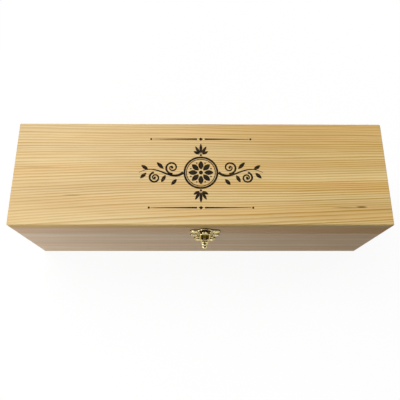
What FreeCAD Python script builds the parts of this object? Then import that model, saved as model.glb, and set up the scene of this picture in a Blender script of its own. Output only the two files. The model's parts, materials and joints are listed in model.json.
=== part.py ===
"""A hinged pine gift box with a brass toggle catch, as a parametric document.

Frame: X along the box, the front faces -Y, Z up. The origin is the centre of the face that the box rests on.
Lengths are in millimetres and angles in degrees.
"""

import FreeCAD, Part
import math
import os
import Sketcher

# Driving sizes: every other size below is worked out from these
SIZES = {
    # The box
    "box_length": 350.0,
    "box_depth": 102.0,
    "box_height": 110.0,
    "lid_height": 29.0,
    "side_thick": 9.0,
    "end_thick": 9.0,
    "top_thick": 9.0,
    "bottom_thick": 6.0,
    "rabbet_depth": 4.5,
    "edge_break": 0.8,
    "seam_break": 0.4,
    # The two hinges on the back
    "hinge_spacing": 220.0,
    "hinge_length": 25.0,
    "leaf_reach": 11.0,
    "leaf_thick": 1.0,
    "leaf_corner": 1.2,
    "knuckle_radius": 1.9,
    "knuckle_gap": 0.2,
    "hinge_setback": 0.3,
    "hinge_pin_radius": 0.9,
    "screw_spacing": 15.0,
    "screw_length": 7.0,
    "screw_shank_radius": 1.0,
    "screw_head_radius": 1.8,
    "screw_head_height": 0.8,
    # Room round pins, screws and nails, and between sliding pieces
    "pin_clearance": 0.05,
    "moving_gap": 0.3,
    # The catch: its plates and nails
    "latch_offset": 4.0,
    "plate_thick": 0.8,
    "plate_seam_gap": 0.8,
    "catch_height": 17.2,
    "catch_foot_half": 9.2,
    "catch_wing_half": 14.0,
    "catch_wing_rise": 7.7,
    "catch_wing_swell": 1.1,
    "catch_shoulder_half": 9.2,
    "catch_shoulder_rise": 13.0,
    "catch_shoulder_swell": 1.8,
    "catch_crown_half": 5.2,
    "catch_crown_height": 2.6,
    "catch_neck_dip": 0.8,
    "catch_nail_side": 10.2,
    "catch_nail_rise": 7.8,
    "lever_plate_height": 26.8,
    "lever_plate_top_half": 12.0,
    "lever_plate_wing_half": 13.8,
    "lever_plate_wing_drop": 4.3,
    "lever_plate_wing_swell": 0.8,
    "lever_plate_waist_half": 7.6,
    "lever_plate_waist_drop": 13.4,
    "lever_plate_waist_dip": 1.4,
    "lever_plate_lobe_half": 9.6,
    "lever_plate_lobe_drop": 20.9,
    "lever_plate_lobe_swell": 1.9,
    "lever_plate_foot_swell": 2.6,
    "lever_plate_notch_half": 2.8,
    "lever_plate_notch_dip": 1.1,
    "lever_plate_nail_side": 6.2,
    "lever_plate_nail_drop": 20.8,
    "nail_head_radius": 1.5,
    "nail_head_height": 0.7,
    "nail_shank_radius": 0.6,
    "nail_length": 6.5,
    # The catch: lever, wire loop and hook
    "lever_width": 6.8,
    "lever_tip_width": 4.8,
    "lever_thick": 0.7,
    "lever_straight": 6.0,
    "lever_bend_radius": 12.0,
    "lever_bend_angle": 45.0,
    "pivot_out": 3.6,
    "pivot_drop": 7.0,
    "pivot_pin_radius": 0.7,
    "ear_radius": 1.8,
    "eye_wall": 0.8,
    "eye_distance": 3.6,
    "eye_tuck": 8.0,
    "wire_radius": 0.7,
    "wire_corner": 1.2,
    "hook_rise": 13.0,
    "hook_width": 6.0,
    "hook_lip": 3.4,
}

ALONG_X = FreeCAD.Vector(1, 0, 0)
ALONG_Z = FreeCAD.Vector(0, 0, 1)
NEAR = 1e-4


class Size:
    """A length or an angle: its number now, and the formula over the sheet's cells that gives it."""

    def __init__(self, number, formula=None):
        self.number = float(number)
        self.formula = formula or f"({self.number})"

    def __add__(self, other):
        other = as_size(other)
        return Size(self.number + other.number, f"({self.formula} + {other.formula})")

    def __sub__(self, other):
        other = as_size(other)
        return Size(self.number - other.number, f"({self.formula} - {other.formula})")

    def __mul__(self, other):
        other = as_size(other)
        return Size(self.number * other.number, f"({self.formula} * {other.formula})")

    def __truediv__(self, other):
        other = as_size(other)
        return Size(self.number / other.number, f"({self.formula} / {other.formula})")

    def __rsub__(self, other):
        return as_size(other) - self

    def __neg__(self):
        return Size(-self.number, f"(-{self.formula})")

    __radd__ = __add__
    __rmul__ = __mul__


def as_size(value):
    return value if isinstance(value, Size) else Size(value)


def sine(angle):
    return Size(math.sin(math.radians(angle.number)), f"sin({angle.formula} * 1 deg)")


def cosine(angle):
    return Size(math.cos(math.radians(angle.number)), f"cos({angle.formula} * 1 deg)")


def root(value):
    return Size(math.sqrt(value.number), f"sqrt({value.formula})")


doc = FreeCAD.newDocument("GiftBox")
sheet = doc.addObject("Spreadsheet::Sheet", "Sizes")
for row, (name, value) in enumerate(SIZES.items(), start=1):
    sheet.set(f"A{row}", name)
    sheet.set(f"B{row}", str(value))
    sheet.setAlias(f"B{row}", name)
doc.recompute()


class Sheet:
    """The driving sizes by name."""


S = Sheet()
for name, value in SIZES.items():
    setattr(S, name, Size(value, f"Sizes.{name}"))

# Places that several pieces share
SEAM_Z = S.box_height - S.lid_height
FRONT_Y = -S.box_depth / 2
BACK_Y = S.box_depth / 2
HINGE_Y = BACK_Y + S.hinge_setback + S.knuckle_radius
LEAF_FACE_Y = BACK_Y + S.leaf_thick
LEAF_EDGE = S.knuckle_radius + S.moving_gap
SCREW_RISE = (LEAF_EDGE + S.leaf_reach) / 2
SCREW_PLACES = [S.hinge_spacing / 2 + sign * S.screw_spacing / 2 for sign in (-1, 1)]
PIVOT_Z = SEAM_Z - S.pivot_drop
EYE_OUT = S.pivot_out - S.eye_distance * sine(S.eye_tuck)
EYE_Z = PIVOT_Z - S.eye_distance * cosine(S.eye_tuck)
HOOK_GAP = 2 * S.wire_radius + S.moving_gap
LIP_OUT = S.plate_thick + HOOK_GAP + S.plate_thick

sub_parts = []


# Helpers: the sheet, sketches and features

def tie(thing, name, size):
    """Binds a property to the formula of a size."""
    thing.setExpression(name, as_size(size).formula)


def new_body(label, x=0, y=0, z=0, turn_axis=ALONG_Z, turn=0):
    """An empty sub-part, named by its label, with its place tied to the sheet."""
    body = doc.addObject("PartDesign::Body", label)
    body.Label = label
    body.Placement = FreeCAD.Placement(FreeCAD.Vector(), FreeCAD.Rotation(turn_axis, as_size(turn).number))
    for axis, size in zip("xyz", (x, y, z)):
        tie(body, f"Placement.Base.{axis}", size)
    sub_parts.append(body)
    return body


def origin_part(body, role):
    return next(feature for feature in body.Origin.OriginFeatures if feature.Role == role)


def new_sketch(body, name, role, lift=0, along=0):
    """A sketch on one of the body's own planes, lifted along its normal and moved along its first axis."""
    sketch = body.newObject("Sketcher::SketchObject", name)
    sketch.AttachmentSupport = [(origin_part(body, role), "")]
    sketch.MapMode = "FlatFace"
    tie(sketch, "AttachmentOffset.Base.x", along)
    tie(sketch, "AttachmentOffset.Base.z", lift)
    return sketch


def pin_down(sketch, shape, end, x, y):
    """Fixes one point of a sketch by its distances from the sketch's origin."""
    for kind, axis, distance in (("DistanceX", -2, as_size(x)), ("DistanceY", -1, as_size(y))):
        if distance.number == 0:
            sketch.addConstraint(Sketcher.Constraint("PointOnObject", shape, end, axis))
        else:
            index = sketch.addConstraint(Sketcher.Constraint(kind, -1, 1, shape, end, distance.number))
            tie(sketch, f"Constraints[{index}]", distance)


def circle(sketch, x, y, radius):
    x, y, radius = as_size(x), as_size(y), as_size(radius)
    centre = FreeCAD.Vector(x.number, y.number, 0)
    shape = sketch.addGeometry(Part.Circle(centre, ALONG_Z, radius.number), False)
    pin_down(sketch, shape, 3, x, y)
    index = sketch.addConstraint(Sketcher.Constraint("Radius", shape, radius.number))
    tie(sketch, f"Constraints[{index}]", radius)


def side(sketch, start, stop, bulge):
    """One side of an outline: a line, or an arc that swells by bulge to the right of its direction."""
    first = FreeCAD.Vector(start[0].number, start[1].number, 0)
    last = FreeCAD.Vector(stop[0].number, stop[1].number, 0)
    if bulge is None:
        return sketch.addGeometry(Part.LineSegment(first, last), False), 1, 2
    across, up = stop[0] - start[0], stop[1] - start[1]
    swell = as_size(bulge)
    if swell.number < 0:
        swell = -swell
    radius = ((across * across + up * up) / 4 + swell * swell) / (2 * swell)
    right = FreeCAD.Vector(up.number, -across.number, 0).normalize()
    turn = 1 if as_size(bulge).number > 0 else -1
    centre = (first + last) / 2 + right * turn * (swell.number - radius.number)
    ends = (first, last) if turn > 0 else (last, first)
    angles = [math.atan2(end.y - centre.y, end.x - centre.x) for end in ends]
    if angles[1] < angles[0]:
        angles[1] += 2 * math.pi
    whole = Part.Circle(centre, ALONG_Z, radius.number)
    shape = sketch.addGeometry(Part.ArcOfCircle(whole, *angles), False)
    index = sketch.addConstraint(Sketcher.Constraint("Radius", shape, radius.number))
    tie(sketch, f"Constraints[{index}]", radius)
    return (shape, 1, 2) if turn > 0 else (shape, 2, 1)


def outline(sketch, corners, closed=True):
    """Lines and arcs through corners (x, y) or (x, y, bulge of the side that arrives there)."""
    points = [(as_size(corner[0]), as_size(corner[1])) for corner in corners]
    bulges = [corner[2] if len(corner) > 2 else None for corner in corners]
    count = len(points) if closed else len(points) - 1
    sides = []
    for start in range(count):
        stop = (start + 1) % len(points)
        sides.append(side(sketch, points[start], points[stop], bulges[stop]))
    for start, (shape, head, tail) in enumerate(sides):
        pin_down(sketch, shape, head, *points[start])
        if closed or start + 1 < count:
            following, next_head, _ = sides[(start + 1) % count]
            sketch.addConstraint(Sketcher.Constraint("Coincident", shape, tail, following, next_head))
        else:
            pin_down(sketch, shape, tail, *points[start + 1])


def rectangle(sketch, left, bottom, right, top):
    outline(sketch, [(left, bottom), (right, bottom), (right, top), (left, top)])


def pad(body, name, sketch, length, symmetric=False):
    feature = body.newObject("PartDesign::Pad", name)
    feature.Profile = sketch
    feature.SideType = "Symmetric" if symmetric else "One side"
    tie(feature, "Length", length)
    return feature


def cut_through(body, name, sketch):
    """A cut right through the body, both ways from the sketch."""
    feature = body.newObject("PartDesign::Pocket", name)
    feature.Profile = sketch
    feature.SideType = "Symmetric"
    feature.Type = "ThroughAll"
    return feature


def cut_down(body, name, sketch, depth):
    """A cut of some depth, against the sketch's normal."""
    feature = body.newObject("PartDesign::Pocket", name)
    feature.Profile = sketch
    tie(feature, "Length", depth)
    return feature


def revolve(body, name, sketch):
    """A full turn of the sketch about its own upright axis."""
    feature = body.newObject("PartDesign::Revolution", name)
    feature.Profile = sketch
    feature.ReferenceAxis = (sketch, ["V_Axis"])
    feature.Angle = 360
    return feature


def mirror(body, name, features, role):
    feature = body.newObject("PartDesign::Mirrored", name)
    feature.Originals = features
    feature.MirrorPlane = (origin_part(body, role), [""])
    body.Tip = feature
    return feature


def repeat_along_x(body, name, features, step, count):
    feature = body.newObject("PartDesign::LinearPattern", name)
    feature.Originals = features
    feature.Direction = (origin_part(body, "X_Axis"), [""])
    feature.Mode = "Spacing"
    feature.Occurrences = count
    tie(feature, "Offset", step)
    body.Tip = feature
    return feature


def dress(body, kind, name, size, wanted):
    """Rounds (Fillet) or breaks (Chamfer) those edges of the body for which wanted(edge) is true."""
    doc.recompute()
    base = body.Tip
    names = [f"Edge{index}" for index, edge in enumerate(base.Shape.Edges, start=1) if wanted(edge)]
    feature = body.newObject(f"PartDesign::{kind}", name)
    feature.Base = (base, names)
    tie(feature, "Radius" if kind == "Fillet" else "Size", size)
    doc.recompute()
    return feature


def flat_at(edge, axis, place):
    """Whether an edge lies all in the plane where the given axis reads place."""
    low = getattr(edge.BoundBox, f"{axis}Min")
    high = getattr(edge.BoundBox, f"{axis}Max")
    return abs(low - as_size(place).number) < NEAR and abs(high - as_size(place).number) < NEAR


def runs_along(edge, axis):
    """Whether an edge is a straight one along the given axis."""
    spans = [getattr(edge.BoundBox, f"{other}Length") for other in "XYZ" if other != axis]
    return max(spans) < NEAR


# The wooden box

def side_board(label, y, z, height, turn, seam_at):
    """A front or back board: its outer face is local y = 0, and each end has a rabbet for the end board."""
    half = S.box_length / 2
    inner_half = half - S.end_thick
    ledge = S.side_thick - S.rabbet_depth
    body = new_body(label, 0, y, z, turn=turn)
    plan = new_sketch(body, f"{label}_plan", "XY_Plane")
    outline(plan, [
        (-half, 0), (half, 0), (half, ledge), (inner_half, ledge), (inner_half, S.side_thick),
        (-inner_half, S.side_thick), (-inner_half, ledge), (-half, ledge),
    ])
    pad(body, f"{label}_board", plan, height)
    dress(body, "Chamfer", f"{label}_corners", S.edge_break,
          lambda edge: runs_along(edge, "Z") and flat_at(edge, "Y", 0))
    dress(body, "Chamfer", f"{label}_seam", S.seam_break,
          lambda edge: flat_at(edge, "Z", seam_at) and is_outer(edge, half, 0))
    return body


def is_outer(edge, half_length, outer_y):
    """Whether an edge of a side board lies on its outer face, its ends or the broken corners between."""
    box = edge.BoundBox
    on_face = box.YMax < as_size(outer_y).number + S.edge_break.number + NEAR
    on_end = box.XMax - box.XMin < NEAR and abs(abs(box.XMax) - half_length.number) < NEAR
    return on_face or on_end


def end_board(label, x, z, height, turn, seam_at):
    """An end board, seated in the rabbets: its outer face is local x = 0."""
    half = S.box_depth / 2 - S.side_thick + S.rabbet_depth
    body = new_body(label, x, 0, z, turn=turn)
    plan = new_sketch(body, f"{label}_plan", "XY_Plane")
    rectangle(plan, 0, -half, S.end_thick, half)
    pad(body, f"{label}_board", plan, height)
    dress(body, "Chamfer", f"{label}_seam", S.seam_break,
          lambda edge: flat_at(edge, "Z", seam_at) and flat_at(edge, "X", 0))
    return body


def panel(label, z, thick, outer_z):
    """The top or the bottom: a flat panel over the whole plan, with its outer edges broken."""
    body = new_body(label, 0, 0, z)
    plan = new_sketch(body, f"{label}_plan", "XY_Plane")
    rectangle(plan, -S.box_length / 2, FRONT_Y, S.box_length / 2, BACK_Y)
    pad(body, f"{label}_board", plan, thick)
    dress(body, "Chamfer", f"{label}_edges", S.edge_break,
          lambda edge: runs_along(edge, "Z") or flat_at(edge, "Z", outer_z))
    return body


def holes_in_face(body, name, places, radius, depth):
    """Pilot holes, bored into a side board from its outer face at places (x, z)."""
    sketch = new_sketch(body, f"{name}_places", "XZ_Plane")
    for x, z in places:
        circle(sketch, x, z, radius)
    cut_down(body, name, sketch, depth)


BASE_BOARD = SEAM_Z - S.bottom_thick
LID_BOARD = S.lid_height - S.top_thick
PILOT_RADIUS = S.screw_shank_radius + S.pin_clearance
PILOT_DEPTH = S.screw_length - S.leaf_thick + S.moving_gap
NAIL_HOLE = S.nail_shank_radius + S.pin_clearance
NAIL_DEPTH = S.nail_length - S.plate_thick + S.moving_gap


def hinge_pilots(z):
    return [(sign * place, z) for sign in (-1, 1) for place in SCREW_PLACES]


def nail_pilots(nail_side, z):
    return [(S.latch_offset + sign * nail_side, z) for sign in (-1, 1)]


LEVER_PLATE_NAIL_Z = SEAM_Z - S.plate_seam_gap - S.lever_plate_nail_drop
CATCH_NAIL_Z = SEAM_Z + S.plate_seam_gap + S.catch_nail_rise

panel("bottom_panel", 0, S.bottom_thick, 0)
front = side_board("base_front_board", FRONT_Y, S.bottom_thick, BASE_BOARD, 0, BASE_BOARD)
holes_in_face(front, "base_nail_holes",
              nail_pilots(S.lever_plate_nail_side, LEVER_PLATE_NAIL_Z - S.bottom_thick),
              NAIL_HOLE, NAIL_DEPTH)
back = side_board("base_back_board", BACK_Y, S.bottom_thick, BASE_BOARD, 180, BASE_BOARD)
holes_in_face(back, "base_screw_holes", hinge_pilots(BASE_BOARD - SCREW_RISE), PILOT_RADIUS, PILOT_DEPTH)
end_board("base_left_end", -S.box_length / 2, S.bottom_thick, BASE_BOARD, 0, BASE_BOARD)
end_board("base_right_end", S.box_length / 2, S.bottom_thick, BASE_BOARD, 180, BASE_BOARD)

panel("lid_top_panel", S.box_height - S.top_thick, S.top_thick, S.top_thick)
front = side_board("lid_front_rail", FRONT_Y, SEAM_Z, LID_BOARD, 0, 0)
holes_in_face(front, "lid_nail_holes", nail_pilots(S.catch_nail_side, CATCH_NAIL_Z - SEAM_Z),
              NAIL_HOLE, NAIL_DEPTH)
back = side_board("lid_back_rail", BACK_Y, SEAM_Z, LID_BOARD, 180, 0)
holes_in_face(back, "lid_screw_holes", hinge_pilots(SCREW_RISE), PILOT_RADIUS, PILOT_DEPTH)
end_board("lid_left_end", -S.box_length / 2, SEAM_Z, LID_BOARD, 0, 0)
end_board("lid_right_end", S.box_length / 2, SEAM_Z, LID_BOARD, 180, 0)


# The two butt hinges

KNUCKLES = 3
KNUCKLE_LENGTH = (S.hinge_length - (KNUCKLES - 1) * S.knuckle_gap) / KNUCKLES
KNUCKLE_STEP = KNUCKLE_LENGTH + S.knuckle_gap


def hinge_leaf(label, x, up, first, count):
    """A leaf on the back face, from the hinge axis up or down, with every other knuckle of the barrel."""
    body = new_body(label, x, HINGE_Y, SEAM_Z)
    face = S.hinge_setback + S.knuckle_radius - S.leaf_thick
    half = S.hinge_length / 2
    start = first * KNUCKLE_STEP - half
    plate = new_sketch(body, f"{label}_plate_shape", "XZ_Plane", lift=face)
    rectangle(plate, -half, up * LEAF_EDGE, half, up * S.leaf_reach)
    pad(body, f"{label}_plate", plate, S.leaf_thick)
    dress(body, "Chamfer", f"{label}_corners", S.leaf_corner,
          lambda edge: runs_along(edge, "Y") and flat_at(edge, "Z", up * S.leaf_reach))
    tab = new_sketch(body, f"{label}_tab_shape", "XZ_Plane", lift=face)
    rectangle(tab, start, up * S.moving_gap, start + KNUCKLE_LENGTH, up * (LEAF_EDGE + S.leaf_thick))
    tab_pad = pad(body, f"{label}_tab", tab, S.leaf_thick)
    ring = new_sketch(body, f"{label}_knuckle_shape", "YZ_Plane", lift=start)
    circle(ring, 0, 0, S.knuckle_radius)
    knuckle = pad(body, f"{label}_knuckle", ring, KNUCKLE_LENGTH)
    if count > 1:
        repeat_along_x(body, f"{label}_knuckles", [tab_pad, knuckle], 2 * KNUCKLE_STEP, count)
    bore = new_sketch(body, f"{label}_bore_shape", "YZ_Plane")
    circle(bore, 0, 0, S.hinge_pin_radius + S.pin_clearance)
    cut_through(body, f"{label}_bore", bore)
    holes = new_sketch(body, f"{label}_hole_shape", "XZ_Plane")
    for sign in (-1, 1):
        circle(holes, sign * S.screw_spacing / 2, up * SCREW_RISE, PILOT_RADIUS)
    cut_through(body, f"{label}_holes", holes)


def hinge_pin(label, x):
    body = new_body(label, x, HINGE_Y, SEAM_Z)
    ring = new_sketch(body, f"{label}_section", "YZ_Plane")
    circle(ring, 0, 0, S.hinge_pin_radius)
    pad(body, f"{label}_rod", ring, S.hinge_length, symmetric=True)


def hinge_screws(label, z):
    """Four pan-head screws in a row, their heads seated on the leaves."""
    body = new_body(label, 0, LEAF_FACE_Y, z)
    made = []
    for number, place in enumerate(SCREW_PLACES):
        profile = new_sketch(body, f"{label}_profile_{number}", "XY_Plane", along=place)
        outline(profile, [
            (0, S.screw_head_height), (0, -S.screw_length), (S.screw_shank_radius, -S.screw_length),
            (S.screw_shank_radius, 0), (S.screw_head_radius, 0), (S.screw_head_radius, S.screw_head_height),
        ])
        made.append(revolve(body, f"{label}_turned_{number}", profile))
    mirror(body, f"{label}_pairs", made, "YZ_Plane")


for hinge_side, hinge_x in (("left", -S.hinge_spacing / 2), ("right", S.hinge_spacing / 2)):
    hinge_leaf(f"hinge_base_leaf_{hinge_side}", hinge_x, -1, 0, 2)
    hinge_leaf(f"hinge_lid_leaf_{hinge_side}", hinge_x, 1, 1, 1)
    hinge_pin(f"hinge_pin_{hinge_side}", hinge_x)
hinge_screws("hinge_base_screws", SEAM_Z - SCREW_RISE)
hinge_screws("hinge_lid_screws", SEAM_Z + SCREW_RISE)


# The toggle catch

LEVER_HALF = S.lever_width / 2
FLANGE_INNER = LEVER_HALF - S.lever_thick
EAR_OUTER = FLANGE_INNER - S.moving_gap
WEB_OUT = S.ear_radius + S.moving_gap
WEB_TOP = -2 * S.moving_gap
WIRE_SIDE = LEVER_HALF + S.moving_gap + S.wire_radius
PIN_HOLE = S.pivot_pin_radius + S.pin_clearance
WIRE_HOLE = S.wire_radius + S.pin_clearance
EYE_RADIUS = WIRE_HOLE + S.eye_wall


def both_halves(right_half, first_bulge=None, last_bulge=None):
    """A closed outline from its right half, run from bottom to top, and that half's mirror image.

    first_bulge and last_bulge are those of the two sides that cross the middle, at the bottom and at the top.
    """
    bulges = [corner[2] for corner in right_half[1:]]
    right = [(*right_half[0][:2], first_bulge), *right_half[1:]]
    left_bulges = [last_bulge, *reversed(bulges)]
    left = [(-x, z, bulge) for (x, z, *_), bulge in zip(reversed(right_half), left_bulges)]
    return right + left


def catch_plate():
    """The lid's plate, a crown between two scrolled wings, with the hook that the loop draws on."""
    label = "latch_catch_plate"
    body = new_body(label, S.latch_offset, FRONT_Y, SEAM_Z + S.plate_seam_gap)
    shape = new_sketch(body, f"{label}_outline", "XZ_Plane")
    outline(shape, both_halves([
        (S.catch_foot_half, 0),
        (S.catch_wing_half, S.catch_wing_rise, S.catch_wing_swell),
        (S.catch_shoulder_half, S.catch_shoulder_rise, S.catch_shoulder_swell),
        (S.catch_crown_half, S.catch_height - S.catch_crown_height, -S.catch_neck_dip),
    ], last_bulge=S.catch_crown_height))
    pad(body, f"{label}_sheet", shape, S.plate_thick)
    nail_holes(body, label, S.catch_nail_side, S.catch_nail_rise)
    hook_z = S.hook_rise - S.plate_seam_gap - S.wire_radius - S.moving_gap
    hook = new_sketch(body, f"{label}_hook_shape", "YZ_Plane")
    outline(hook, [
        (0, hook_z), (0, hook_z - S.plate_thick), (-LIP_OUT, hook_z - S.plate_thick),
        (-LIP_OUT, hook_z + S.hook_lip), (S.plate_thick - LIP_OUT, hook_z + S.hook_lip),
        (S.plate_thick - LIP_OUT, hook_z),
    ])
    pad(body, f"{label}_hook", hook, S.hook_width, symmetric=True)
    dress(body, "Fillet", f"{label}_hook_bend", S.plate_thick,
          lambda edge: runs_along(edge, "X") and flat_at(edge, "Y", -LIP_OUT)
          and flat_at(edge, "Z", hook_z - S.plate_thick))


def nail_holes(body, label, nail_side, z):
    holes = new_sketch(body, f"{label}_hole_shape", "XZ_Plane")
    for sign in (-1, 1):
        circle(holes, sign * nail_side, z, NAIL_HOLE)
    cut_through(body, f"{label}_holes", holes)


def lever_plate():
    """The base's plate: wings under the seam, a waist, two nailed lobes, and the two ears of the lever."""
    label = "latch_base_plate"
    body = new_body(label, S.latch_offset, FRONT_Y, SEAM_Z - S.plate_seam_gap)
    shape = new_sketch(body, f"{label}_outline", "XZ_Plane")
    outline(shape, both_halves([
        (S.lever_plate_notch_half, S.lever_plate_notch_dip - S.lever_plate_height),
        (S.lever_plate_lobe_half, -S.lever_plate_lobe_drop, S.lever_plate_foot_swell),
        (S.lever_plate_waist_half, -S.lever_plate_waist_drop, S.lever_plate_lobe_swell),
        (S.lever_plate_wing_half, -S.lever_plate_wing_drop, -S.lever_plate_waist_dip),
        (S.lever_plate_top_half, 0, S.lever_plate_wing_swell),
    ], first_bulge=-S.lever_plate_notch_dip))
    pad(body, f"{label}_sheet", shape, S.plate_thick)
    nail_holes(body, label, S.lever_plate_nail_side, -S.lever_plate_nail_drop)
    pivot_z = S.plate_seam_gap - S.pivot_drop
    ears = []
    ear_inner = EAR_OUTER - S.plate_thick
    stalk = new_sketch(body, f"{label}_stalk_shape", "YZ_Plane", lift=ear_inner)
    rectangle(stalk, -S.pivot_out, pivot_z - S.ear_radius, 0, pivot_z + S.ear_radius)
    ears.append(pad(body, f"{label}_stalk", stalk, S.plate_thick))
    disc = new_sketch(body, f"{label}_disc_shape", "YZ_Plane", lift=ear_inner)
    circle(disc, -S.pivot_out, pivot_z, S.ear_radius)
    ears.append(pad(body, f"{label}_disc", disc, S.plate_thick))
    mirror(body, f"{label}_ears", ears, "YZ_Plane")
    bore = new_sketch(body, f"{label}_bore_shape", "YZ_Plane")
    circle(bore, -S.pivot_out, pivot_z, PIN_HOLE)
    cut_through(body, f"{label}_bore", bore)


def pivot_pin():
    """The lever's rivet, flush with the lever's flanges so that the wire passes beside it."""
    label = "latch_pivot_pin"
    body = new_body(label, S.latch_offset, FRONT_Y - S.pivot_out, PIVOT_Z)
    ring = new_sketch(body, f"{label}_section", "YZ_Plane")
    circle(ring, 0, 0, S.pivot_pin_radius)
    pad(body, f"{label}_rod", ring, S.lever_width, symmetric=True)


def lever():
    """A strip bent out to a narrower duckbill, with two flanges that turn on the rivet and hold the wire."""
    label = "latch_lever"
    body = new_body(label, S.latch_offset, FRONT_Y - S.pivot_out, PIVOT_Z)
    inner, outer = -WEB_OUT, -WEB_OUT - S.lever_thick
    bend_z = -S.lever_straight
    bend_y = outer - S.lever_bend_radius
    near, far = S.lever_bend_radius, S.lever_bend_radius + S.lever_thick
    reach, drop = cosine(S.lever_bend_angle), sine(S.lever_bend_angle)
    swell = 1 - cosine(S.lever_bend_angle / 2)
    strip = new_sketch(body, f"{label}_strip_shape", "YZ_Plane")
    outline(strip, [
        (outer, WEB_TOP), (outer, bend_z), (bend_y + near * reach, bend_z - near * drop, -near * swell),
        (bend_y + far * reach, bend_z - far * drop), (inner, bend_z, far * swell), (inner, WEB_TOP),
    ])
    pad(body, f"{label}_strip", strip, S.lever_width, symmetric=True)
    eye_y = S.eye_distance * sine(S.eye_tuck)
    eye_z = -S.eye_distance * cosine(S.eye_tuck)
    flange = []
    for name, y, z, radius in (("pivot", 0, 0, S.ear_radius), ("eye", eye_y, eye_z, EYE_RADIUS)):
        disc = new_sketch(body, f"{label}_{name}_shape", "YZ_Plane", lift=FLANGE_INNER)
        circle(disc, y, z, radius)
        flange.append(pad(body, f"{label}_{name}", disc, S.lever_thick))
    cheek = new_sketch(body, f"{label}_cheek_shape", "YZ_Plane", lift=FLANGE_INNER)
    outline(cheek, [
        (outer, WEB_TOP), (outer, eye_z - EYE_RADIUS), (eye_y, eye_z - EYE_RADIUS),
        (eye_y + EYE_RADIUS, eye_z), (S.ear_radius, 0), (0, S.ear_radius),
    ])
    flange.append(pad(body, f"{label}_cheek", cheek, S.lever_thick))
    mirror(body, f"{label}_flanges", flange, "YZ_Plane")
    bores = new_sketch(body, f"{label}_bore_shape", "YZ_Plane")
    circle(bores, 0, 0, PIN_HOLE)
    circle(bores, eye_y, eye_z, WIRE_HOLE)
    cut_through(body, f"{label}_bores", bores)
    tip_z = bend_z - far * drop
    tip_half = S.lever_tip_width / 2
    past = LEVER_HALF + S.lever_thick
    taper = new_sketch(body, f"{label}_taper_shape", "XZ_Plane")
    for sign in (-1, 1):
        outline(taper, [(sign * LEVER_HALF, bend_z), (sign * tip_half, tip_z),
                        (sign * past, tip_z), (sign * past, bend_z)])
    cut_through(body, f"{label}_taper", taper)
    dress(body, "Fillet", f"{label}_tip", tip_half - S.pin_clearance,
          lambda edge: edge.BoundBox.ZMax < (tip_z + S.lever_thick).number
          and edge.BoundBox.XLength < tip_half.number)


def loop():
    """Bent wire: its ends turn in the lever's eyes, and it leans out so that its bar is off the hook."""
    label = "latch_loop"
    bar_hooked = S.plate_thick + HOOK_GAP / 2
    bar_out = LIP_OUT + S.moving_gap + S.wire_radius
    rise = SEAM_Z + S.hook_rise - EYE_Z
    length = root((EYE_OUT - bar_hooked) * (EYE_OUT - bar_hooked) + rise * rise)
    lean = (bar_out - EYE_OUT) / length
    body = new_body(label, S.latch_offset, FRONT_Y - EYE_OUT, EYE_Z, ALONG_X,
                    math.degrees(math.asin(lean.number)))
    body.setExpression("Placement.Rotation.Angle", f"asin({lean.formula})")
    corner = S.wire_corner
    end_x = FLANGE_INNER
    route = new_sketch(body, f"{label}_route", "XZ_Plane")
    outline(route, [
        (end_x, 0), (WIRE_SIDE, 0), (WIRE_SIDE, length - corner), (WIRE_SIDE - corner, length),
        (corner - WIRE_SIDE, length), (-WIRE_SIDE, length - corner), (-WIRE_SIDE, 0), (-end_x, 0),
    ], closed=False)
    ring = new_sketch(body, f"{label}_section", "YZ_Plane", lift=end_x)
    circle(ring, 0, 0, S.wire_radius)
    wire = body.newObject("PartDesign::AdditivePipe", f"{label}_wire")
    wire.Profile = ring
    wire.Spine = route
    wire.Transition = "Right corner"


def nails(label, nail_side, z):
    """A pair of nails with flat button heads, seated on their plate."""
    body = new_body(label, S.latch_offset, FRONT_Y - S.plate_thick, z)
    profile = new_sketch(body, f"{label}_profile", "XY_Plane", along=nail_side)
    outline(profile, [
        (0, -S.nail_head_height), (S.nail_head_radius, -S.nail_head_height), (S.nail_head_radius, 0),
        (S.nail_shank_radius, 0), (S.nail_shank_radius, S.nail_length), (0, S.nail_length),
    ])
    turned = revolve(body, f"{label}_turned", profile)
    mirror(body, f"{label}_pair", [turned], "YZ_Plane")


catch_plate()
lever_plate()
pivot_pin()
lever()
loop()
nails("latch_catch_nails", S.catch_nail_side, CATCH_NAIL_Z)
nails("latch_base_nails", S.lever_plate_nail_side, LEVER_PLATE_NAIL_Z)


# Checks and files

doc.recompute()
faults = [thing.Label for thing in doc.Objects if "Invalid" in thing.State or "Error" in thing.State]
faults += [body.Label for body in sub_parts if body.Shape.isNull() or not body.Shape.isValid()]
if faults:
    raise SystemExit(f"failed: {', '.join(faults)}")
os.makedirs("parts", exist_ok=True)
for body in sub_parts:
    body.Shape.exportStep(f"parts/{body.Label}.step")
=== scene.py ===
"""Looks of the hinged pine gift box: its wood and brass, a printed ornament, the stage, light and camera.

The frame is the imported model's: X along the box, the front faces -Y, Z up. Sizes on the part are written in
millimetres and turned into metres by MM. The stage and its lamps are in metres.
"""

import json
import math

import bmesh
import bpy
from mathutils import Matrix, Vector


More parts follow.
